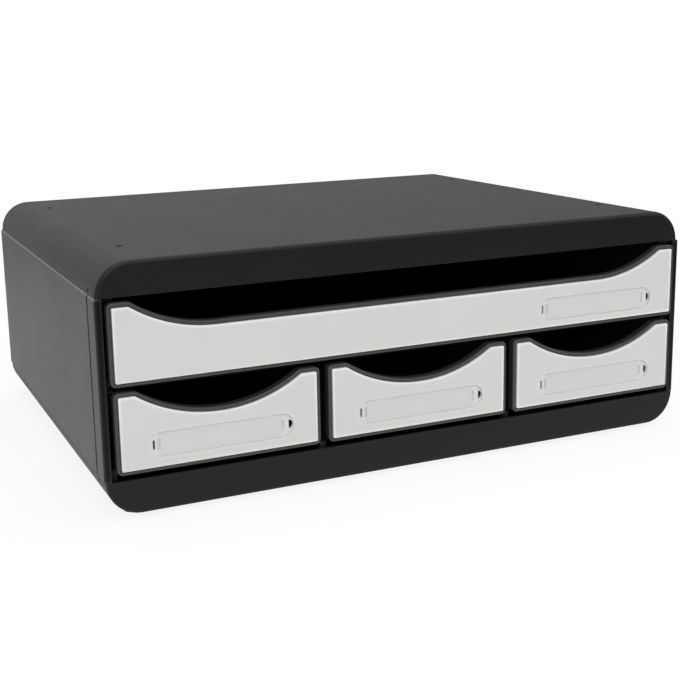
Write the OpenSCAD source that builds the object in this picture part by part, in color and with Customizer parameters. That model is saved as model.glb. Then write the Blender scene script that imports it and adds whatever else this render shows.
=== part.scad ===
// Desktop mini drawers: a snap-together case with one wide drawer over three small ones.
// Millimetres. X runs across the front, -Y is the front, +Z is up.
// The origin is on the table, under the middle of the case.

/* [Case] */
// Width over the two side panels
case_w = 355; // [300:1:450]
// Depth of the case, from its front edges to its back edges
case_d = 270; // [220:1:340]
// Height of the lid, and of the base, which is the same moulding turned over
shell_h = 18; // [15:0.5:26]
// Radius of the four long rounded edges
edge_r = 18; // [12:0.5:18]
// Wall of the lid and the base
shell_wall = 2.5; // [1.8:0.1:3.2]
// How far the side panels stand out past the lid and the base
side_step = 0.8; // [0.4:0.1:1.5]
// Thickness of a side panel between its stiles
side_t = 2.5; // [2:0.1:3.2]
// Width of a side panel's front stile, as seen from the front
stile_w = 4; // [3.4:0.1:5.5]
// Depth of a stile, along the side of the case
stile_d = 14; // [10:0.5:22]
// Width of the groove behind the front stile
groove_w = 1.2; // [0.6:0.1:2]
// Depth of that groove
groove_depth = 0.8; // [0.4:0.1:1.2]
// Thickness of the back panel
back_t = 2; // [1.5:0.1:3]

/* [Rows of drawers] */
// Number of small drawers in the lower row
lower_count = 3; // [3]
// Height of a small drawer's front
lower_front_h = 42.8; // [36:0.1:60]
// Height of the wide drawer's front
upper_front_h = 42.5; // [36:0.1:60]
// Gap between the base and the lower row of fronts
sill_gap = 3.7; // [2:0.1:5]
// Gap between the two rows of fronts
row_gap = 2.8; // [2.8:0.1:5]
// Gap between the upper front and the lid
head_gap = 2.2; // [2:0.1:5]
// Gap between two small drawers' fronts
column_gap = 4.7; // [4.2:0.1:7]
// Gap between the wide front and the side panels' stiles
upper_side_gap = 1.5; // [1:0.1:2]
// Gap between the outer small fronts and the side panels' stiles
lower_side_gap = 2.3; // [1.5:0.1:3]
// How far a drawer pulls out before its stops meet
travel = 190; // [120:1:200]

/* [Drawer front] */
// How far the rim stands in front of the case
rim_stand = 2.7; // [0:0.1:3]
// Depth of the rim, front to back
rim_d = 5; // [4.4:0.1:7]
// Width of the rim round the front plate
rim_w = 2.1; // [1.6:0.1:3.2]
// Radius of the front's corners
front_r = 3; // [1:0.1:5]
// Radius of the curve at each end of the finger scoop
scoop_r = 76; // [50:1:110]
// Depth of the finger scoop
scoop_h = 13.7; // [8:0.1:15]
// Width of the flat ear beside the scoop
ear_w = 11.5; // [8:0.5:14]
// Radius of the ear's inner corner
ear_r = 4.2; // [4:0.1:6]
// Thickness of the light front plate
plate_t = 2.4; // [1.6:0.1:3]
// How far the plate stands in front of the rim
plate_stand = 0.8; // [0.1:0.1:1]
// Wall behind the front plate
web_t = 2; // [1.4:0.1:2.4]

/* [Drawer box] */
// Wall of a drawer box
tray_wall = 1.8; // [1.2:0.1:2.4]
// Floor of a drawer box
tray_floor = 1.8; // [1.2:0.1:2.4]
// How much narrower than its front the box is, on each side
box_inset = 2; // [1.5:0.1:3]
// How far the front reaches below the box
rim_drop = 0.4; // [0.2:0.1:0.5]
// How far the box's side walls stop below the top of the front
side_drop = 0.8; // [0.4:0.1:3]
// Free space behind a closed drawer
rear_space = 7; // [5:0.5:20]
// Radius of the box's rear corners
rear_r = 8; // [5:0.5:15]

/* [Label holder] */
// Length of the label recess, over its round ends
label_len = 79; // [66:1:86]
// Height of the label recess
label_h = 13; // [11:0.5:14]
// Depth of the label recess
label_depth = 1; // [0.8:0.1:1.2]
// Thickness of the paper card
card_t = 0.3; // [0.2:0.1:0.4]
// Height of a label's middle above the bottom of a small front
lower_label_up = 13.8; // [12:0.1:16]
// Height of the label's middle above the bottom of the wide front
upper_label_up = 12.7; // [12:0.1:16]
// Radius of the half-round release hole at the label's right end
release_r = 2.4; // [1.8:0.1:2.4]
// Height of the narrow catch slot at its left end
catch_h = 4.8; // [3:0.1:6]
// Width of the catch slot
catch_w = 1.2; // [1:0.1:2]
// Wall left behind the tab slots, which are blind
slot_floor = 0.5; // [0.4:0.1:0.8]
// Length of the cover's end tabs, up the front
tab_h = 5; // [3:0.5:7]
// Thickness of the cover's end tabs
tab_t = 1; // [0.8:0.1:1.4]

/* [Inner parts] */
// Thickness of the shelf between the rows
shelf_t = 2; // [1.6:0.1:2.2]
// Thickness of a divider between small drawers
divider_t = 1.8; // [1.4:0.1:2.2]
// Thickness of the small ribs inside the case
rib_t = 1.5; // [1.2:0.1:1.8]
// Height of the stiffening ribs in the lid and the base
rib_h = 6; // [3:0.5:8]
// Height of the low glide ribs on the shelf
glide_h = 0.6; // [0.4:0.1:1]
// Depth of the groove under the shelf that a divider's top edge fits in
shelf_groove = 0.8; // [0.5:0.1:1]
// How far the tongues and the back panel reach into the lid and the base
lap = 4; // [2.5:0.5:5]
// Thickness of a tongue
tongue_t = 1.8; // [1.4:0.1:2.4]
// Size of a drawer stop along the drawer's way
stop_d = 3; // [2:0.5:5]
// Height of a drawer stop
stop_h = 10; // [6:0.5:14]
// How far a stop nub stands out of a drawer box
nub_out = 2; // [1.6:0.1:2.2]

/* [Clearances] */
// Clearance between fixed pieces that fit together
fit = 0.2; // [0.1:0.05:0.3]
// Clearance under a sliding drawer
run_gap = 0.3; // [0.2:0.05:0.5]
// Clearance beside a sliding drawer, and above it
side_gap = 0.6; // [0.4:0.05:0.8]
// What is left between the stops when a drawer is fully out
stop_gap = 0.4; // [0.3:0.1:1]

/* [Feet and small features] */
// Diameter of a rubber foot
foot_d = 10; // [8:0.5:12]
// Height of a rubber foot
foot_h = 3; // [2:0.5:6]
// Distance from a foot's middle to the case's side
foot_side = 17; // [15:0.5:30]
// Distance from a foot's middle to the front or back of the case
foot_end = 14; // [12:0.5:40]
// Diameter of the hole that a foot's stem is pressed into
stem_hole_d = 5; // [4:0.1:6]
// Diameter of the dimples in the lid
dimple_d = 4; // [3:0.1:6]
// Depth of the dimples
dimple_depth = 1.2; // [0.5:0.1:1.6]
// Distance from a dimple to the case's side
dimple_side = 25.5; // [22:0.5:60]
// Distance from a dimple to the front or back of the case
dimple_end = 45; // [20:1:90]
// Diameter of the snap notch in the lid's side, above the groove
notch_d = 2.2; // [1.5:0.1:3]

/* [Hidden] */
$fn = 64;

// A cut runs this far past the face it opens, and a rib this far into what carries it
over = 0.5;

// Colours
shell_c = [0.09, 0.09, 0.09];
side_c = [0.11, 0.11, 0.11];
inner_c = [0.07, 0.07, 0.07];
tray_c = [0.26, 0.26, 0.27];
plate_c = [0.84, 0.84, 0.83];
card_c = [0.93, 0.93, 0.91];
cover_c = [0.9, 0.92, 0.93, 0.4];
rubber_c = [0.05, 0.05, 0.05];

// Front to back. The case is set back by half of what the drawer fronts stand out,
// so that the whole is centred.
front_stand = rim_stand + plate_stand;
case_front = -case_d / 2 + front_stand / 2;
case_back = case_front + case_d;
rim_front = case_front - rim_stand;
rim_back = rim_front + rim_d;
inner_front = rim_back + rib_t;
back_rear = case_back - shell_wall - fit;
back_front = back_rear - back_t;
inner_rear = back_front - fit;
tray_len = back_front - rear_space - rim_front;

// Across
half_w = case_w / 2;
shell_half = half_w - side_step;
panel_in = half_w - side_t;
stile_in = half_w - stile_w;
upper_front_w = 2 * (stile_in - upper_side_gap);
lower_row_w = 2 * (stile_in - lower_side_gap);
lower_front_w = (lower_row_w - (lower_count - 1) * column_gap) / lower_count;
pitch = lower_front_w + column_gap;
upper_box_w = upper_front_w - 2 * box_inset;
lower_box_w = lower_front_w - 2 * box_inset;
divider_x = pitch / 2;
upper_guide_in = upper_box_w / 2 + side_gap;
lower_guide_in = pitch + lower_box_w / 2 + side_gap;
divider_foot_half = divider_x - lower_box_w / 2 - side_gap;

// Up
base_z = foot_h;
base_top = base_z + shell_h;
lower_z = base_top + sill_gap;
lower_top = lower_z + lower_front_h;
upper_z = lower_top + row_gap;
upper_top = upper_z + upper_front_h;
lid_z = upper_top + head_gap;
glide_z = lower_z + rim_drop - run_gap;
shelf_top = upper_z + rim_drop - run_gap - glide_h;
shelf_z = shelf_top - shelf_t;
upper_box_top = upper_top - side_drop;
lower_box_top = lower_top - side_drop;
stop_drop = 2;
upper_stop_z = upper_box_top - stop_drop - stop_h;
lower_stop_z = lower_box_top - stop_drop - stop_h;

// Stops: a drawer's nub meets the case's lug when the drawer is fully out
lug_front = rim_back + 2 * rib_t;
lug_rear = lug_front + stop_d;
nub_front = lug_rear + travel + stop_gap;

// The tongue stays inside the lid's rounded wall at its full lap
arc_depth = max(lap - (shell_h - edge_r), 0);
lap_half = shell_half - edge_r + sqrt(pow(edge_r - shell_wall, 2) - pow(arc_depth, 2));
tongue_out = lap_half - fit;

// Finger scoop: its curve, the ear's inner corner and the point where they meet
scoop_reach = sqrt(2 * scoop_r * scoop_h - scoop_h * scoop_h);
join_rise = scoop_r - scoop_h + ear_r;
join_run = sqrt(pow(scoop_r + ear_r, 2) - pow(join_rise, 2));
min_scoop_flat = 0.2;

// Plate and label
plate_seat = plate_t - plate_stand;
pocket_front = plate_seat + web_t;
straight_len = label_len - label_h;
recess_floor = label_depth - plate_stand;
slot_t = tab_t + 2 * fit;
slot_depth = plate_t - slot_floor;
release_x = straight_len / 2 + slot_t + 2.6;
catch_x = straight_len / 2 + slot_t + 1.2;
cover_t = label_depth - card_t - 0.1;

// ---------- shared shapes ----------

// Extrudes an outline drawn in X and Z, from y0 backwards over len
module along_y(y0, len) {
    translate([0, y0 + len, 0])
        rotate([90, 0, 0])
            linear_extrude(len)
                children();
}

// A block given by its two corners
module block(low, high) {
    translate(low)
        cube(high - low);
}

// Copies its children to both sides of the case
module both_sides() {
    for (s = [0, 1])
        mirror([s, 0, 0])
            children();
}

// Both sides, and at the front and the back, at (x, distance from the case's end)
module four_corners(x, end) {
    for (sx = [-1, 1])
        for (y = [case_front + end, case_back - end])
            translate([sx * x, y, 0])
                children();
}

// Half of a stadium: flat at the bottom, with its two upper corners rounded
module band_outline(w, h, r, below) {
    intersection() {
        translate([-w / 2, -below])
            square([w, h + below]);
        union() {
            translate([-w / 2 + r, -below])
                square([w - 2 * r, h + below]);
            translate([-w / 2, -below - r])
                square([w, h + below]);
            for (s = [-1, 1])
                translate([s * (w / 2 - r), h - r])
                    circle(r = r);
        }
    }
}

// The moulding that is the lid, and turned over the base: open edge at z = 0
module shell() {
    difference() {
        along_y(case_front, case_d)
            band_outline(2 * shell_half, shell_h, edge_r, 0);
        along_y(case_front + shell_wall, case_d - 2 * shell_wall)
            band_outline(2 * (shell_half - shell_wall), shell_h - shell_wall, edge_r - shell_wall, 1);
        both_sides()
            translate([shell_half - shell_wall / 2, case_front + stile_d + groove_w / 2, notch_d])
                rotate([0, 90, 0])
                    cylinder(d = notch_d, h = shell_wall);
    }
    shell_ribs();
}

// Three ribs across the moulding, their ends let into its rounded walls
module shell_ribs() {
    for (k = [-1, 0, 1])
        intersection() {
            along_y((case_front + case_back) / 2 + k * case_d / 3 - rib_t / 2, rib_t)
                band_outline(2 * shell_half - shell_wall, shell_h - shell_wall / 2, edge_r - shell_wall / 2, 0);
            block([-half_w, case_front, shell_h - shell_wall - rib_h], [half_w, case_back, shell_h]);
        }
}

// ---------- case ----------

module lid() {
    color(shell_c)
        difference() {
            translate([0, 0, lid_z])
                shell();
            four_corners(half_w - dimple_side, dimple_end)
                translate([0, 0, lid_z + shell_h - dimple_depth])
                    cylinder(d = dimple_d, h = dimple_depth + over);
        }
}

module base() {
    color(shell_c)
        difference() {
            union() {
                translate([0, 0, base_top])
                    mirror([0, 0, 1])
                        shell();
                four_corners(half_w - foot_side, foot_end)
                    translate([0, 0, base_z])
                        cylinder(d = foot_d + 3, h = shell_wall + 1);
                base_rails();
                for (s = [-1, 1])
                    translate([s * divider_x, 0, 0])
                        divider_socket();
            }
            four_corners(half_w - foot_side, foot_end)
                translate([0, 0, base_z - over])
                    cylinder(d = stem_hole_d, h = shell_wall + 1 + 2 * over);
        }
}

// Two rails under each small drawer, on the floor of the base, set back so that they don't show
module base_rails() {
    rail_front = inner_front + 12;
    for (k = [-1, 0, 1])
        for (s = [-1, 1])
            translate([k * pitch + s * lower_box_w / 3, 0, 0])
                block([-rib_t / 2, rail_front, base_z + shell_wall / 2], [rib_t / 2, inner_rear, glide_z]);
}

// A post that shows between two fronts, and the slot behind it that the divider stands in
module divider_socket() {
    post_half = column_gap / 2 - 0.75;
    post_up = 3.6;
    slot_half = divider_t / 2 + fit;
    block([-post_half, case_front + shell_wall / 2, base_z + shell_wall / 2], [post_half, rim_back, base_top + post_up]);
    for (s = [0, 1])
        mirror([s, 0, 0])
            block([slot_half, inner_front, base_z + shell_wall / 2], [slot_half + rib_t, inner_rear, base_top]);
}

// The right-hand side panel
module side_panel() {
    color(side_c)
        difference() {
            union() {
                block([panel_in, case_front, base_top], [half_w, case_back, lid_z]);
                block([stile_in, case_front, base_top], [half_w, case_front + stile_d, lid_z]);
                block([stile_in, case_back - stile_d, base_top], [half_w, case_back, lid_z]);
                block([stile_in - rib_t, case_back - shell_wall, base_top], [half_w, case_back, lid_z]);
                side_rails();
                side_stops();
            }
            block(
                [half_w - groove_depth, case_front + stile_d, base_top - over],
                [half_w + over, case_front + stile_d + groove_w, lid_z + over]
            );
        }
}

// Ribs along the inside of a side panel, and the tongues into the lid and the base
module side_rails() {
    tongue_in = tongue_out - tongue_t;
    head_z = upper_box_top + side_gap + 0.2;
    head_in = upper_box_w / 2 - tray_wall - 1;
    foot_up = 6;
    guide_up = 3;
    // head rail, over the wide drawer's side wall, with the upper tongue
    block([head_in, inner_front, head_z], [panel_in + over, inner_rear, lid_z]);
    block([tongue_in, inner_front, head_z], [tongue_out, inner_rear, lid_z + lap]);
    // guide beside the wide drawer, on top of the shelf
    block([upper_guide_in, inner_front, shelf_top], [panel_in + over, inner_rear, shelf_top + guide_up]);
    // ledge under the shelf
    block([lower_guide_in, inner_front, shelf_z - rib_t], [panel_in + over, inner_rear, shelf_z]);
    // foot rail beside the outer small drawer, with the lower tongue
    block([lower_guide_in, inner_front, base_top], [panel_in + over, inner_rear, base_top + foot_up]);
    block([tongue_in, inner_front, base_top - lap], [tongue_out, inner_rear, base_top + foot_up]);
}

// The lugs that the drawers' nubs meet
module side_stops() {
    block([upper_guide_in, lug_front, upper_stop_z], [panel_in + over, lug_rear, upper_stop_z + stop_h]);
    block([lower_guide_in, lug_front, lower_stop_z], [panel_in + over, lug_rear, lower_stop_z + stop_h]);
}

module side_panel_right() {
    side_panel();
}

module side_panel_left() {
    mirror([1, 0, 0])
        side_panel();
}

// Closes the back, let into the lid and the base, with two slots for the dividers
module back_panel() {
    half = min(stile_in, lap_half) - fit;
    slot_half = divider_t / 2 + fit;
    slot_d = 4;
    color(inner_c)
        union() {
            block([-half, back_front, base_top - lap], [half, back_rear, lid_z + lap]);
            for (x = [-divider_x, divider_x])
                for (s = [-1, 1])
                    translate([x + s * (slot_half + rib_t / 2), 0, 0])
                        block([-rib_t / 2, back_front - slot_d, lower_z], [rib_t / 2, back_front + over, lower_box_top]);
        }
}

// The floor of the wide drawer's compartment, lying on the side panels' ledges,
// with a groove underneath for the top edge of each divider
module shelf() {
    half = stile_in - fit;
    groove_half = divider_t / 2 + fit;
    color(inner_c)
        difference() {
            union() {
                block([-half, inner_front, shelf_z], [half, inner_rear, shelf_top]);
                for (x = [-1, -0.4, 0.4, 1] * (upper_box_w / 2 - 20))
                    block([x - rib_t, inner_front, shelf_top - over], [x + rib_t, inner_rear, shelf_top + glide_h]);
            }
            for (x = [-divider_x, divider_x])
                block(
                    [x - groove_half, inner_front - over, shelf_z - over],
                    [x + groove_half, inner_rear + over, shelf_z + shelf_groove]
                );
        }
}

// A wall between two small drawers, with a foot that guides them and their stops
module divider() {
    foot_up = 6;
    divider_z = base_z + shell_wall + rib_h + fit;
    divider_top = shelf_z + shelf_groove - fit;
    block([-divider_t / 2, inner_front, divider_z], [divider_t / 2, inner_rear, divider_top]);
    block([-divider_foot_half, inner_front, base_top], [divider_foot_half, inner_rear - 5, base_top + foot_up]);
    block([-divider_foot_half, lug_front, lower_stop_z], [divider_foot_half, lug_rear, lower_stop_z + stop_h]);
}

module divider_left() {
    color(inner_c)
        translate([-divider_x, 0, 0])
            divider();
}

module divider_right() {
    color(inner_c)
        translate([divider_x, 0, 0])
            divider();
}

// A turned rubber foot: pad, stem and the bulb that holds it in the base
module foot(sx, y) {
    stem_r = stem_hole_d / 2 - 0.1;
    grip = shell_wall + 1 + 0.1;
    bulb_r = stem_hole_d / 2 + 0.6;
    edge = 0.6;
    color(rubber_c)
        translate([sx * (half_w - foot_side), y, 0])
            rotate_extrude()
                polygon([
                    [0, 0],
                    [foot_d / 2 - edge, 0],
                    [foot_d / 2, edge],
                    [foot_d / 2, foot_h],
                    [stem_r, foot_h],
                    [stem_r, foot_h + grip],
                    [bulb_r, foot_h + grip],
                    [stem_r - 0.4, foot_h + grip + 2],
                    [0, foot_h + grip + 2]
                ]);
}

module foot_front_left() {
    foot(-1, case_front + foot_end);
}

module foot_front_right() {
    foot(1, case_front + foot_end);
}

module foot_rear_left() {
    foot(-1, case_back - foot_end);
}

module foot_rear_right() {
    foot(1, case_back - foot_end);
}

// ---------- drawers ----------
// Each is drawn with its front rim's bottom middle at x = 0, z = 0 and y = 0 at the rim's face

// The straight part of the scoop's floor, from the middle to where its curve starts
function scoop_flat(w) = max(w / 2 - ear_w - scoop_reach, min_scoop_flat);

// The floor and the two curves of the finger scoop in a front of width w and height h.
// A face set in by inset keeps the same centres.
module scoop_floor(w, h, inset) {
    flat = scoop_flat(w);
    centre_z = h - scoop_h + scoop_r;
    for (s = [-1, 1])
        translate([s * flat, centre_z])
            circle(r = scoop_r + inset, $fn = 128);
    translate([-flat, centre_z - scoop_r - inset])
        square([2 * flat, scoop_r]);
}

// All that the finger scoop takes out, with the ears' inner corners rounded
module scoop_cut(w, h, inset) {
    corner_x = scoop_flat(w) + join_run;
    corner_r = max(ear_r - inset, 0.3);
    join_z = h - scoop_h + scoop_r - (scoop_r + inset) * join_rise / (scoop_r + ear_r);
    scoop_floor(w, h, inset);
    difference() {
        translate([-corner_x, join_z])
            square([2 * corner_x, h]);
        for (s = [-1, 1])
            translate([s * corner_x, h - ear_r])
                circle(r = corner_r);
    }
}

module rounded_square(w, low, high, r) {
    translate([-w / 2 + r, low])
        square([w - 2 * r, high - low]);
    translate([-w / 2, low + r])
        square([w, high - low - 2 * r]);
    for (sx = [-1, 1])
        for (z = [low + r, high - r])
            translate([sx * (w / 2 - r), z])
                circle(r = r);
}

// Outline of a front, set in by inset all round
module front_outline(w, h, inset) {
    difference() {
        rounded_square(w - 2 * inset, inset, h - inset, max(front_r - inset, 0.3));
        scoop_cut(w, h, inset);
    }
}

// Plan of a drawer box, square at the front and rounded at the back
module box_plan(w, front, rear, r) {
    translate([-w / 2, front])
        square([w, rear - front - r]);
    translate([-w / 2 + r, front])
        square([w - 2 * r, rear - front]);
    for (s = [-1, 1])
        translate([s * (w / 2 - r), rear - r])
            circle(r = r);
}

// The half-round hole that the label cover is pushed out through
module release_hole(y0, len) {
    intersection() {
        translate([release_x, y0, 0])
            rotate([-90, 0, 0])
                cylinder(r = release_r, h = len);
        block([release_x, y0 - 1, -release_r], [release_x + release_r, y0 + len + 1, release_r]);
    }
}

// The slots in the floor of the label recess: a blind one for each end tab, and the catch slot
module label_slots() {
    both_sides()
        block(
            [straight_len / 2, -plate_stand, -tab_h / 2 - fit],
            [straight_len / 2 + slot_t, slot_depth - plate_stand, tab_h / 2 + fit]
        );
    block([-catch_x - catch_w, -plate_stand, -catch_h / 2], [-catch_x, plate_t, catch_h / 2]);
}

// A drawer box with its rimmed front, in one moulding
module tray(w, h, label_x, label_up) {
    box_w = w - 2 * box_inset;
    cavity_w = box_w - 2 * tray_wall;
    pocket_inset = (w - cavity_w) / 2;
    color(tray_c)
        difference() {
            union() {
                along_y(0, rim_d)
                    front_outline(w, h, 0);
                difference() {
                    translate([0, 0, rim_drop])
                        linear_extrude(h - side_drop - rim_drop)
                            box_plan(box_w, rim_d - over, tray_len, rear_r);
                    along_y(0, rim_d + over)
                        scoop_cut(w, h, 0);
                }
                both_sides()
                    block(
                        [box_w / 2 - over, nub_front - rim_front, h - side_drop - stop_drop - stop_h],
                        [box_w / 2 + nub_out, nub_front - rim_front + stop_d, h - side_drop - stop_drop]
                    );
            }
            along_y(-over, plate_seat + over)
                front_outline(w, h, rim_w);
            along_y(pocket_front, rim_d - pocket_front + over)
                difference() {
                    translate([-w / 2 + pocket_inset, pocket_inset])
                        square([w - 2 * pocket_inset, h - 2 * pocket_inset]);
                    scoop_floor(w, h, pocket_inset);
                }
            translate([0, 0, rim_drop + tray_floor])
                linear_extrude(h)
                    box_plan(cavity_w, rim_d, tray_len - tray_wall, rear_r - tray_wall);
            translate([label_x, 0, label_up])
                release_hole(plate_seat - over, web_t + 2 * over);
        }
}

// The light front plate, with its label recess, tab slots, release hole and catch slot
module front_plate(w, h, label_x, label_up) {
    color(plate_c)
        difference() {
            along_y(-plate_stand, plate_t)
                front_outline(w, h, rim_w + fit);
            translate([label_x, 0, label_up]) {
                along_y(-plate_stand - over, label_depth + over)
                    stadium();
                label_slots();
                release_hole(-plate_stand, plate_t + over);
            }
        }
}

module stadium() {
    square([straight_len, label_h], center = true);
    for (s = [-1, 1])
        translate([s * straight_len / 2, 0])
            circle(d = label_h);
}

// The paper card, lying on the floor of the recess
module label_card(label_x, label_up) {
    color(card_c)
        translate([label_x, 0, label_up])
            block(
                [-straight_len / 2 + fit, recess_floor - card_t, -label_h / 2 + fit],
                [straight_len / 2 - fit, recess_floor, label_h / 2 - fit]
            );
}

// The clear cover over the card, with a tab at each end
module label_cover(label_x, label_up) {
    cover_rear = recess_floor - card_t;
    tab_rear = slot_depth - plate_stand - fit;
    color(cover_c)
        translate([label_x, 0, label_up])
            union() {
                block(
                    [-straight_len / 2 - over, cover_rear - cover_t, -label_h / 2 + fit],
                    [straight_len / 2 + over, cover_rear, label_h / 2 - fit]
                );
                both_sides()
                    block(
                        [straight_len / 2 + fit, cover_rear - cover_t, -tab_h / 2],
                        [straight_len / 2 + fit + tab_t, tab_rear, tab_h / 2]
                    );
            }
}

// Places a drawer's piece: the wide one on top, or small one number k = -1, 0 or 1
module at_top() {
    translate([0, rim_front, upper_z])
        children();
}

module at_lower(k) {
    translate([k * pitch, rim_front, lower_z])
        children();
}

module tray_top() {
    at_top()
        tray(upper_front_w, upper_front_h, pitch, upper_label_up);
}

module front_plate_top() {
    at_top()
        front_plate(upper_front_w, upper_front_h, pitch, upper_label_up);
}

module label_card_top() {
    at_top()
        label_card(pitch, upper_label_up);
}

module label_cover_top() {
    at_top()
        label_cover(pitch, upper_label_up);
}

module lower_tray(k) {
    at_lower(k)
        tray(lower_front_w, lower_front_h, 0, lower_label_up);
}

module lower_plate(k) {
    at_lower(k)
        front_plate(lower_front_w, lower_front_h, 0, lower_label_up);
}

module lower_card(k) {
    at_lower(k)
        label_card(0, lower_label_up);
}

module lower_cover(k) {
    at_lower(k)
        label_cover(0, lower_label_up);
}

base();
side_panel_left();
side_panel_right();
back_panel();
divider_left();
divider_right();
shelf();
lid();
foot_front_left();
foot_front_right();
foot_rear_left();
foot_rear_right();
tray_top();
front_plate_top();
label_card_top();
label_cover_top();
lower_tray(-1);  // tray_left
lower_plate(-1);  // front_plate_left
lower_card(-1);  // label_card_left
lower_cover(-1);  // label_cover_left
lower_tray(0);  // tray_middle
lower_plate(0);  // front_plate_middle
lower_card(0);  // label_card_middle
lower_cover(0);  // label_cover_middle
lower_tray(1);  // tray_right
lower_plate(1);  // front_plate_right
lower_card(1);  // label_card_right
lower_cover(1);  // label_cover_right
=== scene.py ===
import math

import bmesh
import bpy
from mathutils import Matrix, Vector


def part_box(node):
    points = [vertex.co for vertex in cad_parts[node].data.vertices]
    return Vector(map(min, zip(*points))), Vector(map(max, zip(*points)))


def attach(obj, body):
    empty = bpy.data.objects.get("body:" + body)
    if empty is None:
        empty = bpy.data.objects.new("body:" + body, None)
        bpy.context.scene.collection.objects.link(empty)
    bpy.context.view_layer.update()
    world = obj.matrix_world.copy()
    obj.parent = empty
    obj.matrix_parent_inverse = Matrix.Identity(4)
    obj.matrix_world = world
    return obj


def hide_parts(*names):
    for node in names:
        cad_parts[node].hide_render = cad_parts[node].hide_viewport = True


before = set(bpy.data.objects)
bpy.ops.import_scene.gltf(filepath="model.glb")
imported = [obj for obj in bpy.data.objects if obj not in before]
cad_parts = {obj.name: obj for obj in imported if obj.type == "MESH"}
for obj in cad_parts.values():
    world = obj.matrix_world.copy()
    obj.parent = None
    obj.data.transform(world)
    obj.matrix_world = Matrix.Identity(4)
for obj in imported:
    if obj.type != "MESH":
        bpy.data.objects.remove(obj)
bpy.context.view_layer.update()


# ---------------------------------------------------------------------------
# Base and lid. Two shots of one injection mould in black polystyrene, the base turned
# over. The mould was spark-eroded to a fine satin grain and its edges were eased.

MM = 0.001


def new_group(name, inputs, outputs):
    """A shader node group with float or colour inputs {name: default} and outputs {name: kind}."""
    group = bpy.data.node_groups.new(name, "ShaderNodeTree")
    for label, default in inputs.items():
        kind = "NodeSocketColor" if isinstance(default, tuple) else "NodeSocketFloat"
        group.interface.new_socket(label, in_out="INPUT", socket_type=kind).default_value = default
    for label, kind in outputs.items():
        group.interface.new_socket(label, in_out="OUTPUT", socket_type=kind)
    return group


def node(tree, kind, values=None, **settings):
    """Adds a node with its settings, and sets or links its input sockets."""
    made = tree.nodes.new(kind)
    for label, value in settings.items():
        setattr(made, label, value)
    for socket, value in (values or {}).items():
        if isinstance(value, bpy.types.NodeSocket):
            tree.links.new(value, made.inputs[socket])
        else:
            made.inputs[socket].default_value = value
    return made


def maths(tree, operation, *values, clamp=False):
    """The result of one Math node."""
    made = node(tree, "ShaderNodeMath", dict(enumerate(values)), operation=operation, use_clamp=clamp)
    return made.outputs[0]


def spread(tree, value, low, high, new_low=0.0, new_high=1.0, **settings):
    """Maps value from the range low to high onto new_low to new_high, held at both ends."""
    ends = {"Value": value, "From Min": low, "From Max": high, "To Min": new_low, "To Max": new_high}
    return node(tree, "ShaderNodeMapRange", ends, **settings).outputs["Result"]


def part_of(tree, vector, axis):
    """One of the parts X, Y and Z of a vector."""
    return node(tree, "ShaderNodeSeparateXYZ", {0: vector}).outputs[axis]


def facing(tree, axis):
    """How far a face looks along X, Y or Z."""
    return part_of(tree, node(tree, "ShaderNodeNewGeometry").outputs["Normal"], axis)


def noise(tree, size_mm, place, detail=2.0, roughness=0.5):
    """A noise with features of about size_mm, spread to roughly -1 to 1."""
    grey = node(tree, "ShaderNodeTexNoise", {"Vector": place, "Scale": 1 / (size_mm * MM), "Detail": detail,
                                             "Roughness": roughness}).outputs["Fac"]
    return maths(tree, "MULTIPLY_ADD", grey, 4.0, -2.0)


def scaled(tree, vector, share):
    """A vector or colour times a share."""
    return node(tree, "ShaderNodeVectorMath", {0: vector, "Scale": share}, operation="SCALE").outputs[0]


def moulded_grain_group():
    """The eroded grain of a mould, with the slow drift of colour and gloss that a shot has."""
    group = new_group(
        "moulded grain",
        {"Colour": (0.5, 0.5, 0.5, 1.0), "Colour Drift": 0.04, "Roughness": 0.4, "Gloss Drift": 0.03},
        {"Colour": "NodeSocketColor", "Roughness": "NodeSocketFloat", "Height": "NodeSocketFloat"})
    take = node(group, "NodeGroupInput").outputs
    give = node(group, "NodeGroupOutput").inputs
    place = node(group, "ShaderNodeTexCoord").outputs["Object"]

    flow = noise(group, 60.0, place, detail=1.0)
    mottle = noise(group, 2.6, place, detail=2.0)
    fine = noise(group, 0.42, place, detail=2.0, roughness=0.6)

    tone = maths(group, "MULTIPLY_ADD", mottle, 0.35, flow)
    share = maths(group, "MULTIPLY_ADD", tone, take["Colour Drift"], 1.0)
    group.links.new(scaled(group, take["Colour"], share), give["Colour"])

    gloss = maths(group, "MULTIPLY_ADD", flow, 0.5, mottle)
    satin = maths(group, "MULTIPLY_ADD", gloss, take["Gloss Drift"], take["Roughness"])
    group.links.new(satin, give["Roughness"])
    group.links.new(maths(group, "MULTIPLY_ADD", mottle, 0.25, fine), give["Height"])
    return group


def edge_polish_and_highlight_group():
    """A mask that is 1 along edges, broken up a little, where a mould's grain fades and hands polish: it
    makes the edges smoother, and it lifts their colour paler as a painted highlight.
    """
    group = new_group("eased edge", {"Width": 0.0008}, {"Mask": "NodeSocketFloat"})
    take = node(group, "NodeGroupInput").outputs
    give = node(group, "NodeGroupOutput").inputs
    place = node(group, "ShaderNodeTexCoord").outputs["Object"]
    inside = node(group, "ShaderNodeAmbientOcclusion", {"Distance": take["Width"]}, inside=True,
                  only_local=True, samples=8).outputs["AO"]
    sharp = spread(group, inside, FLAT_SHARE, EDGE_SHARE)
    patchy = maths(group, "MULTIPLY_ADD", noise(group, 7.0, place, detail=3.0), 0.2, 0.8, clamp=True)
    group.links.new(maths(group, "MULTIPLY", sharp, patchy, clamp=True), give["Mask"])
    return group


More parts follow.
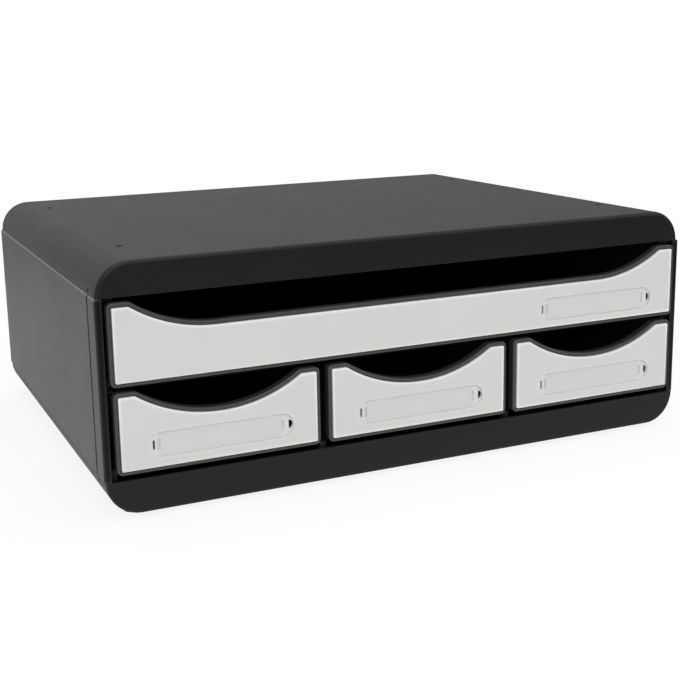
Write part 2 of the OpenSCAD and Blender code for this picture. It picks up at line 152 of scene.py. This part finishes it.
def dust_and_ledge_highlight_group():
    """A mask of faint dust on faces that look up, beyond a distance from the middle of the case; on the side
    panels' ledge it is a painted highlight.
    """
    group = new_group("dust and ledge highlight", {"Amount": 0.1, "Beyond": 0.0}, {"Mask": "NodeSocketFloat"})
    take = node(group, "NodeGroupInput").outputs
    give = node(group, "NodeGroupOutput").inputs
    place = node(group, "ShaderNodeTexCoord").outputs["Object"]
    across = maths(group, "ABSOLUTE", part_of(group, place, "X"))
    beyond = maths(group, "GREATER_THAN", across, take["Beyond"])
    up = maths(group, "MULTIPLY", spread(group, facing(group, "Z"), DUST_AND_HIGHLIGHT_FROM, DUST_AND_HIGHLIGHT_FULL), beyond)
    speck = spread(group, noise(group, 1.1, place, detail=3.0, roughness=0.7), -0.2, 1.2, new_low=0.35)
    mask = maths(group, "MULTIPLY", maths(group, "MULTIPLY", up, speck), take["Amount"], clamp=True)
    group.links.new(mask, give["Mask"])
    return group


# The share of rays into the piece that stay in it for the width, under a flat face and an edge.
FLAT_SHARE, EDGE_SHARE = 0.95, 0.55
# How far a face looks up where dust and the painted ledge highlight begin, and where they are full.
DUST_AND_HIGHLIGHT_FROM, DUST_AND_HIGHLIGHT_FULL = 0.15, 0.5
# The pale colour of the dust, which is also the colour of the painted ledge highlight.
DUST_AND_HIGHLIGHT_COLOUR = (0.52, 0.52, 0.50, 1.0)
# How far a face looks along Y where it starts to count as a front, and where it does in full.
FRONT_FROM, FRONT_FULL = -0.8, -0.98
# The palest that the painted edge highlight gets, and how much smoother a polished edge is.
PALEST_EDGE_HIGHLIGHT = 0.9
EDGE_GLOSS = 0.1
GRAIN = moulded_grain_group()
EDGE_POLISH_AND_HIGHLIGHT = edge_polish_and_highlight_group()
DUST_AND_HIGHLIGHT = dust_and_ledge_highlight_group()


def use_group(tree, group, **values):
    """Adds a shader node group with constants on its inputs, and gives its outputs."""
    made = node(tree, "ShaderNodeGroup", node_tree=group)
    for label, value in values.items():
        made.inputs[label.replace("_", " ")].default_value = value
    return made.outputs


def mixed(tree, share, first, second):
    """The mix of two colours."""
    return node(tree, "ShaderNodeMix", {0: share, 6: first, 7: second}, data_type="RGBA").outputs[2]


def new_material(name):
    """An empty material and its node tree."""
    material = bpy.data.materials.new(name)
    material.use_nodes = True
    material.node_tree.nodes.clear()
    return material, material.node_tree


def moulded(name, colour, roughness, specular, grain_depth_mm, colour_drift=0.05, gloss_drift=0.03,
            edge_mm=0.8, edge_highlight_lift=1.5, dust_and_highlight=0.0, dust_and_highlight_beyond=-1.0, front_matt=0.0):
    """A moulded plastic or rubber: its grain and drift, smoother edges where hands reach with their colour
    lifted paler as a painted highlight, dust on what looks up, which on the side panels' ledge is a painted
    highlight, and less gloss by front_matt on what looks forward."""
    material, tree = new_material(name)
    grain = use_group(tree, GRAIN, Colour=(*colour, 1.0), Colour_Drift=colour_drift, Roughness=roughness,
                      Gloss_Drift=gloss_drift)
    handled_and_highlit = node(tree, "ShaderNodeAttribute", attribute_name="handled_and_highlit").outputs["Fac"]
    edge = maths(tree, "MULTIPLY", use_group(tree, EDGE_POLISH_AND_HIGHLIGHT, Width=edge_mm * MM)["Mask"], handled_and_highlit)
    # This pale mask is faint dust on the shells, and a painted highlight on the side panels' ledge.
    dust_and_highlight_mask = use_group(tree, DUST_AND_HIGHLIGHT, Amount=dust_and_highlight, Beyond=dust_and_highlight_beyond)["Mask"]
    # The paler colour of the edges is a painted highlight.
    pale = (*(min(part * edge_highlight_lift, PALEST_EDGE_HIGHLIGHT) for part in colour), 1.0)
    coloured_with_dust_and_highlight = mixed(tree, dust_and_highlight_mask, mixed(tree, edge, grain["Colour"], pale), DUST_AND_HIGHLIGHT_COLOUR)
    satin = maths(tree, "MULTIPLY_ADD", edge, -EDGE_GLOSS, grain["Roughness"])
    satin = maths(tree, "ADD", satin, dust_and_highlight_mask, clamp=True)
    bump = node(tree, "ShaderNodeBump", {"Height": grain["Height"], "Distance": grain_depth_mm * MM})
    shine = specular
    if front_matt:
        matt = specular * (1 - front_matt)
        shine = spread(tree, facing(tree, "Y"), FRONT_FROM, FRONT_FULL, specular, matt)
    shader = node(tree, "ShaderNodeBsdfPrincipled",
                  {"Base Color": coloured_with_dust_and_highlight, "Roughness": satin, "Normal": bump.outputs["Normal"],
                   "Specular IOR Level": shine})
    node(tree, "ShaderNodeOutputMaterial", {"Surface": shader.outputs["BSDF"]})
    return material


def geometry_group(name, inputs):
    """A geometry node group that takes and gives a mesh, with more inputs {name: socket kind}."""
    group = bpy.data.node_groups.new(name, "GeometryNodeTree")
    for way in ("INPUT", "OUTPUT"):
        group.interface.new_socket("Mesh", in_out=way, socket_type="NodeSocketGeometry")
    for label, kind in inputs.items():
        group.interface.new_socket(label, in_out="INPUT", socket_type=kind)
    return group


def smooth_faces_group():
    """Marks every face as smooth, so that the rounded edges shade evenly."""
    group = geometry_group("smooth faces", {})
    take = node(group, "NodeGroupInput").outputs
    smooth = node(group, "GeometryNodeSetShadeSmooth", {"Geometry": take["Mesh"]})
    node(group, "NodeGroupOutput", {"Mesh": smooth.outputs["Geometry"]})
    return group


def outer_edges_group():
    """Marks the outer edges for rounding, and the places that hands reach, where edges are polished and carry
    a painted highlight: fully where they lie outside the box Low to High and between the heights Bottom and
    Top, and by Share elsewhere."""
    group = geometry_group("outer edges", {"Share": "NodeSocketFloat", "Low": "NodeSocketVector",
                                           "High": "NodeSocketVector", "Bottom": "NodeSocketFloat",
                                           "Top": "NodeSocketFloat"})
    take = node(group, "NodeGroupInput").outputs
    place = node(group, "GeometryNodeInputPosition").outputs["Position"]
    under = node(group, "ShaderNodeVectorMath", {0: take["Low"], 1: place}, operation="SUBTRACT").outputs[0]
    above = node(group, "ShaderNodeVectorMath", {0: place, 1: take["High"]}, operation="SUBTRACT").outputs[0]
    beyond = node(group, "ShaderNodeVectorMath", {0: under, 1: above}, operation="MAXIMUM").outputs[0]
    x, y, z = node(group, "ShaderNodeSeparateXYZ", {0: beyond}).outputs
    furthest = maths(group, "MAXIMUM", maths(group, "MAXIMUM", x, y), z)
    outside = maths(group, "GREATER_THAN", furthest, 0.0)
    height = part_of(group, place, "Z")
    level = maths(group, "MULTIPLY", maths(group, "GREATER_THAN", height, take["Bottom"]),
                  maths(group, "LESS_THAN", height, take["Top"]))
    share = maths(group, "MAXIMUM", maths(group, "MULTIPLY", outside, level), take["Share"])
    angle = node(group, "GeometryNodeInputMeshEdgeAngle").outputs["Signed Angle"]
    weight = maths(group, "MULTIPLY", share, maths(group, "GREATER_THAN", angle, SHARP_ANGLE))
    marked = node(group, "GeometryNodeStoreNamedAttribute",
                  {"Geometry": take["Mesh"], "Name": "bevel_weight_edge", "Value": weight},
                  data_type="FLOAT", domain="EDGE")
    handled_and_highlit = node(group, "GeometryNodeStoreNamedAttribute",
                   {"Geometry": marked.outputs["Geometry"], "Name": "handled_and_highlit", "Value": share},
                   data_type="FLOAT", domain="POINT")
    node(group, "NodeGroupOutput", {"Mesh": handled_and_highlit.outputs["Geometry"]})
    return group


# Faces that meet within the flat angle are one face, and past the sharp angle their edge is rounded.
FLAT_ANGLE = math.radians(0.6)
SHARP_ANGLE = math.radians(35)
WELD_GAP = 1e-6
LARGE_FACE_WEIGHT = 80
FAR = 9.0
SMOOTH_FACES = smooth_faces_group()
OUTER_EDGES = outer_edges_group()


def ease(piece, radius_mm, material, segments=3, show_mm=None, low=(-FAR, -FAR, -FAR),
         high=(FAR, FAR, FAR), bottom=-FAR, top=FAR, clamp=True):
    """Rounds a piece's edges by a small radius, or by show_mm where they lie outside the box low to high
    and between the heights bottom and top, with even shading, and gives the piece its material. With clamp
    the radius is held down over the whole piece as far as its closest edges need."""
    weld = piece.modifiers.new("weld", "WELD")
    weld.merge_threshold = WELD_GAP
    flat = piece.modifiers.new("flat faces", "DECIMATE")
    flat.decimate_type = "DISSOLVE"
    flat.angle_limit = FLAT_ANGLE
    marked = piece.modifiers.new("outer edges", "NODES")
    marked.node_group = OUTER_EDGES
    width_mm = show_mm or radius_mm
    chosen = {"Share": radius_mm / width_mm, "Low": low, "High": high, "Bottom": bottom, "Top": top}
    for item in OUTER_EDGES.interface.items_tree:
        if item.name in chosen:
            marked[item.identifier] = chosen[item.name]
    bevel = piece.modifiers.new("eased edges", "BEVEL")
    bevel.width = width_mm * MM
    bevel.segments = segments
    bevel.use_clamp_overlap = clamp
    bevel.limit_method = "WEIGHT"
    bevel.miter_outer = "MITER_ARC"
    smooth = piece.modifiers.new("smooth", "NODES")
    smooth.node_group = SMOOTH_FACES
    weighted = piece.modifiers.new("even shading", "WEIGHTED_NORMAL")
    weighted.keep_sharp = False
    weighted.weight = LARGE_FACE_WEIGHT
    piece.data.materials.clear()
    piece.data.materials.append(material)


# An edge within this of the side of a piece's box is one of its outer edges.
INSET = 0.1 * MM
# The shells' edges are painted paler as a highlight, and faces that look up get faint dust.
shell_black = moulded("satin black shell", (0.0045, 0.0045, 0.0042), 0.50, 0.29, 0.010, edge_mm=1.8,
                      edge_highlight_lift=5.0, dust_and_highlight=0.008)
for name in ("base", "lid"):
    box_low, box_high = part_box(name)
    ends = {"bottom": box_low.z + MM} if name == "lid" else {"top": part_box("side_panel_left")[0].z - MM}
    ease(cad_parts[name], 0.2, shell_black, segments=6, show_mm=2.4,
         low=(-FAR, box_low.y + INSET, -FAR), high=(FAR, box_high.y - INSET, FAR),
         clamp=name == "base", **ends)


# ---------------------------------------------------------------------------
# Feet. Four turned black rubber feet with a dull face. The stem of each is pressed up
# through a hole in the base, where the bulb at its end holds it.

# The feet's edges are painted a little paler as a highlight.
rubber = moulded("black rubber", (0.010, 0.010, 0.010), 0.75, 0.3, 0.012, gloss_drift=0.05, edge_highlight_lift=1.8)
for end in ("front", "rear"):
    for side in ("left", "right"):
        ease(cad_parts[f"foot_{end}_{side}"], 0.25, rubber)


# ---------------------------------------------------------------------------
# Side panels. Black polystyrene mouldings snapped between the base and the lid, each with
# a thick front stile and a groove behind it. They are glossier than the shells, but for
# the fronts of the stiles. A painted highlight lies on the ledge that stands out past the lid.

LEDGE = 0.8 * MM
OUTER_INSET = 0.05 * MM
# The side panels' edges are painted paler as a highlight, and the dust mask paints a highlight on the ledge
# past the lid.
side_black = moulded("satin black side", (0.0045, 0.0045, 0.0042), 0.43, 0.33, 0.010, edge_mm=1.4,
                     edge_highlight_lift=22.0, dust_and_highlight=0.9, dust_and_highlight_beyond=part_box("side_panel_right")[1].x - LEDGE,
                     front_matt=0.5)
for side in ("left", "right"):
    box_low, box_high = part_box("side_panel_" + side)
    outer = max(-box_low.x, box_high.x) - OUTER_INSET
    ease(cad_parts["side_panel_" + side], 0.25, side_black, segments=4, show_mm=1.0,
         low=(-outer, -FAR, -FAR), high=(outer, FAR, FAR), clamp=False)


# ---------------------------------------------------------------------------
# Back panel, dividers and shelf. Plain black mouldings with a duller finish. The back is
# let into the base and the lid, the dividers stand in slots in the base, and the shelf
# lies on ledges of the side panels with a groove for the top of each divider.

# Their edges are painted slightly paler as a highlight.
inner_black = moulded("matt black inner", (0.004, 0.004, 0.004), 0.6, 0.12, 0.014, front_matt=0.8)
for name in ("back_panel", "divider_left", "divider_right", "shelf"):
    ease(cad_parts[name], 0.2, inner_black, segments=2)


# ---------------------------------------------------------------------------
# Drawer boxes. Each is one dark grey polystyrene moulding, with the rim round its front
# plate. The rim and the scoop are polished by hands, and their edges carry a painted highlight.

DRAWERS = ("top", "left", "middle", "right")
# The trays' edges are painted paler as a highlight, most along the rim.
tray_grey = moulded("satin dark grey tray", (0.034, 0.034, 0.035), 0.38, 0.45, 0.008, edge_mm=1.3,
                    edge_highlight_lift=2.8)
for drawer in DRAWERS:
    box_low, box_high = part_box("tray_" + drawer)
    ease(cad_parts["tray_" + drawer], 0.35, tray_grey, segments=4, show_mm=0.8,
         low=(-FAR, box_low.y + INSET, -FAR), clamp=False)


# ---------------------------------------------------------------------------
# Front plates. Light grey polystyrene, pressed into the rims, with a recess for the
# label, the half-round hole that its cover is pushed out through, and a catch slot.

# The plates' edges are painted paler as a highlight.
plate_grey = moulded("satin light grey plate", (0.650, 0.650, 0.636), 0.42, 0.4, 0.005, colour_drift=0.008,
                     gloss_drift=0.02, edge_mm=2.2, edge_highlight_lift=1.38)
for drawer in DRAWERS:
    box_low, box_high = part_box("front_plate_" + drawer)
    over_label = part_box("label_cover_" + drawer)[1].z + MM
    ease(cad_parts["front_plate_" + drawer], 0.12, plate_grey, show_mm=0.5,
         low=(box_low.x + INSET, -FAR, box_low.z + INSET), high=(box_high.x - INSET, FAR, over_label))


# ---------------------------------------------------------------------------
# Label cards. Blank white card cut to the recess, a little thinner than the room it
# has, so it lies in a slight wave under its cover.

def fibre_group():
    """The pressed fibres of card: fine streaks of height, and a faint cloud of colour."""
    group = new_group("card fibres", {"Colour": (0.8, 0.8, 0.8, 1.0)},
                      {"Colour": "NodeSocketColor", "Height": "NodeSocketFloat"})
    take = node(group, "NodeGroupInput").outputs
    give = node(group, "NodeGroupOutput").inputs
    place = node(group, "ShaderNodeTexCoord").outputs["Object"]
    streaks = node(group, "ShaderNodeMapping", {"Vector": place, "Scale": (0.25, 1.0, 1.0)})
    fibres = noise(group, 0.12, streaks.outputs["Vector"], detail=3.0, roughness=0.6)
    share = maths(group, "MULTIPLY_ADD", noise(group, 3.0, place), 0.012, 1.0)
    group.links.new(scaled(group, take["Colour"], share), give["Colour"])
    group.links.new(fibres, give["Height"])
    return group


card_white, tree = new_material("uncoated white card")
fibres = use_group(tree, fibre_group(), Colour=(0.66, 0.66, 0.648, 1.0))
bump = node(tree, "ShaderNodeBump", {"Height": fibres["Height"], "Distance": 0.01 * MM})
shader = node(tree, "ShaderNodeBsdfPrincipled", {"Base Color": fibres["Colour"], "Roughness": 0.85,
                                                 "Normal": bump.outputs["Normal"], "Specular IOR Level": 0.3})
node(tree, "ShaderNodeOutputMaterial", {"Surface": shader.outputs["BSDF"]})

CARD_THICK = 0.18 * MM
CARD_STRIPS = 40
CARD_CORNER = 0.8 * MM
CORNER_STEP = 15
# The card's waves along its length, and how far they lift it
CARD_WAVES = 3
CARD_WAVE = 0.03 * MM


def card_columns(low, high):
    """Columns across the card from left to right, as (x, what its round corners take off both ends)."""
    angles = [math.radians(turn) for turn in range(0, 91, CORNER_STEP)]
    corner = [(CARD_CORNER * (1 - math.cos(angle)), CARD_CORNER * (1 - math.sin(angle))) for angle in angles]
    left = [(low.x + reach, off) for reach, off in corner]
    right = [(high.x - reach, off) for reach, off in reversed(corner)]
    strip = (high.x - low.x) / CARD_STRIPS
    return left + [(low.x + strip * step, 0.0) for step in range(1, CARD_STRIPS)] + right


def make_card(name, low, high):
    """A thin card with round corners, in many strips across and bent in a slight wave."""
    points = []
    for x, off in card_columns(low, high):
        along = (x - low.x) / (high.x - low.x)
        back = high.y - CARD_WAVE * math.sin(along * math.pi * CARD_WAVES) ** 2
        front = back - CARD_THICK
        bottom, top = low.z + off, high.z - off
        points += [(x, front, bottom), (x, front, top), (x, back, top), (x, back, bottom)]
    last = len(points) - 4
    faces = [(0, 1, 2, 3), (last + 3, last + 2, last + 1, last)]
    for first in range(0, last, 4):
        for side in range(4):
            turned = (side + 1) % 4
            faces.append((first + side, first + 4 + side, first + 4 + turned, first + turned))
    data = bpy.data.meshes.new(name)
    data.from_pydata(points, [], faces)
    data.materials.append(card_white)
    piece = bpy.data.objects.new(name, data)
    bpy.context.scene.collection.objects.link(piece)
    return piece


for drawer in DRAWERS:
    low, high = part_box("label_card_" + drawer)
    card = make_card("card_" + drawer, low, high)
    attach(card, "drawer_" + drawer)
    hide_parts("label_card_" + drawer)


# ---------------------------------------------------------------------------
# Label covers. Thin clear polystyrene strips with a tab at each end that springs into
# the plate, so the strip holds the card down.

cover_clear, tree = new_material("clear cover")
edge = use_group(tree, EDGE_POLISH_AND_HIGHLIGHT, Width=0.25 * MM)["Mask"]
place = node(tree, "ShaderNodeTexCoord").outputs["Object"]
satin = maths(tree, "MULTIPLY_ADD", noise(tree, 9.0, place, detail=3.0), 0.02, 0.10)
# The cover is more opaque along its edges: a painted highlight that outlines them.
seen = maths(tree, "MULTIPLY_ADD", edge, 0.20, 0.08, clamp=True)
shader = node(tree, "ShaderNodeBsdfPrincipled",
              {"Base Color": (0.86, 0.87, 0.86, 1.0), "Roughness": satin, "Alpha": seen,
               "Specular IOR Level": 0.5})
node(tree, "ShaderNodeOutputMaterial", {"Surface": shader.outputs["BSDF"]})
for drawer in DRAWERS:
    ease(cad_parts["label_cover_" + drawer], 0.12, cover_clear, segments=2)


# ---------------------------------------------------------------------------
# Studio: a white table, a white room, soft lamps, and the camera that was fitted to the
# case's outline in the photograph.

def seen_directly(tree):
    """1 for what the camera, a gloss or clear plastic shows, and 0 for the light that falls on the object."""
    path = node(tree, "ShaderNodeLightPath").outputs
    shown = maths(tree, "MAXIMUM", path["Is Camera Ray"], path["Is Glossy Ray"])
    return maths(tree, "MAXIMUM", shown, path["Is Transmission Ray"])


def mirrored(tree, level):
    """1 for the camera, and level for what a gloss mirrors, so that black plastic shows a darker room."""
    glossy = node(tree, "ShaderNodeLightPath").outputs["Is Glossy Ray"]
    return maths(tree, "MULTIPLY_ADD", glossy, maths(tree, "SUBTRACT", level, 1.0), 1.0)


TABLE_RADIUS = 0.62
TABLE_GREY = (0.80, 0.80, 0.80, 1.0)
WHITE = (1.0, 1.0, 1.0, 1.0)
# The shadow is this deep as far as the first radius, and fades to none at the second.
SHADOW_DEPTH = 0.13
SHADOW_RADIUS, SHADOW_END = 0.30, TABLE_RADIUS * 0.95
# What a gloss mirrors of the table fades to this level, from DIM_START to DIM_END in front.
DIM_END, DIM_START, DIM_LEVEL = -0.60, -0.20, 0.35

table_white, tree = new_material("white table")
place = node(tree, "ShaderNodeTexCoord").outputs["Object"]
far = node(tree, "ShaderNodeVectorMath", {0: place}, operation="LENGTH").outputs["Value"]
near = spread(tree, far, SHADOW_RADIUS, SHADOW_END, 1.0, 0.0, interpolation_type="SMOOTHSTEP")
lit = node(tree, "ShaderNodeBsdfDiffuse", {"Color": TABLE_GREY})
along = part_of(tree, place, "Y")
ahead = spread(tree, along, DIM_END, DIM_START, DIM_LEVEL, 1.0, interpolation_type="SMOOTHSTEP")
glow = node(tree, "ShaderNodeEmission", {"Color": WHITE, "Strength": mirrored(tree, ahead)})
shade = node(tree, "ShaderNodeBsdfDiffuse", {"Color": WHITE})
shown = node(tree, "ShaderNodeMixShader", {0: maths(tree, "MULTIPLY", near, SHADOW_DEPTH), 1: glow.outputs[0],
                                           2: shade.outputs[0]})
surface = node(tree, "ShaderNodeMixShader", {0: seen_directly(tree), 1: lit.outputs[0], 2: shown.outputs[0]})
node(tree, "ShaderNodeOutputMaterial", {"Surface": surface.outputs[0]})

table_mesh = bmesh.new()
bmesh.ops.create_circle(table_mesh, cap_ends=True, segments=96, radius=TABLE_RADIUS)
table_data = bpy.data.meshes.new("table")
table_mesh.to_mesh(table_data)
table_mesh.free()
table_data.materials.append(table_white)
table_top = bpy.data.objects.new("table", table_data)
bpy.context.scene.collection.objects.link(table_top)

# The light that the room gives, and what a gloss mirrors of it: a level, what it gains to
# the right, to the back and upwards, and its least.
FILL = 0.6
ROOM = 0.41
ROOM_RIGHT, ROOM_BACK, ROOM_UP = -0.30, 0.22, 0.55
ROOM_LEAST = 0.1

world = bpy.data.worlds.new("white room")
bpy.context.scene.world = world
world.use_nodes = True
tree = world.node_tree
tree.nodes.clear()
fill = node(tree, "ShaderNodeBackground", {"Color": WHITE, "Strength": FILL})
toward = node(tree, "ShaderNodeTexCoord").outputs["Generated"]
x, y, z = node(tree, "ShaderNodeSeparateXYZ", {0: toward}).outputs
across = maths(tree, "MULTIPLY_ADD", x, ROOM_RIGHT, ROOM)
deep = maths(tree, "MULTIPLY_ADD", y, ROOM_BACK, across)
high = maths(tree, "MULTIPLY_ADD", maths(tree, "MAXIMUM", z, 0.0), ROOM_UP, deep)
room = maths(tree, "MINIMUM", maths(tree, "MAXIMUM", high, ROOM_LEAST), 1.0)
white = node(tree, "ShaderNodeBackground", {"Color": WHITE, "Strength": mirrored(tree, room)})
both = node(tree, "ShaderNodeMixShader", {0: seen_directly(tree), 1: fill.outputs[0], 2: white.outputs[0]})
node(tree, "ShaderNodeOutputWorld", {"Surface": both.outputs[0]})


def soft_lamp(name, place, aim, size, power):
    """A square soft box that looks at aim, in watts."""
    lamp = bpy.data.lights.new(name, "AREA")
    lamp.shape = "SQUARE"
    lamp.size = size
    lamp.energy = power
    made = bpy.data.objects.new(name, lamp)
    made.location = place
    made.rotation_mode = "QUATERNION"
    made.rotation_quaternion = (Vector(aim) - Vector(place)).to_track_quat("-Z", "Y")
    made.visible_camera = False
    bpy.context.scene.collection.objects.link(made)


LAMP_AIM = (0, 0, 0.05)
soft_lamp("front lamp", (-0.5, -2.0, 1.5), LAMP_AIM, 1.4, 20)
soft_lamp("right lamp", (1.8, -0.8, 1.2), LAMP_AIM, 1.2, 8)
soft_lamp("top lamp", (0.0, 0.3, 1.9), LAMP_AIM, 1.4, 10)

CAMERA_AZIMUTH = math.radians(-23.6795)
CAMERA_ELEVATION = math.radians(11.968)
CAMERA_ROLL = math.radians(-1.230)
CAMERA_DISTANCE = 0.768
CAMERA_AIM = Vector((0.0, 0.00175, 0.0705))
FOCAL_PIXELS = 1179.53
IMAGE_PIXELS = 680
AIM_PIXEL = (318.11, 301.85)

camera = bpy.data.objects.new("camera", bpy.data.cameras.new("camera"))
bpy.context.scene.collection.objects.link(camera)
back = Vector((math.sin(CAMERA_AZIMUTH) * math.cos(CAMERA_ELEVATION),
               -math.cos(CAMERA_AZIMUTH) * math.cos(CAMERA_ELEVATION), math.sin(CAMERA_ELEVATION)))
level_right = (-back).cross(Vector((0, 0, 1))).normalized()
level_up = level_right.cross(-back)
right = math.cos(CAMERA_ROLL) * level_right + math.sin(CAMERA_ROLL) * level_up
up = -math.sin(CAMERA_ROLL) * level_right + math.cos(CAMERA_ROLL) * level_up
camera.matrix_world = (Matrix.Translation(CAMERA_AIM + back * CAMERA_DISTANCE)
                       @ Matrix((right, up, back)).transposed().to_4x4())
camera.data.sensor_width = 36.0
camera.data.lens = FOCAL_PIXELS / IMAGE_PIXELS * camera.data.sensor_width
camera.data.shift_x = (IMAGE_PIXELS / 2 - AIM_PIXEL[0]) / IMAGE_PIXELS
camera.data.shift_y = (AIM_PIXEL[1] - IMAGE_PIXELS / 2) / IMAGE_PIXELS
bpy.context.scene.camera = camera
bpy.context.scene.view_settings.view_transform = "Standard"
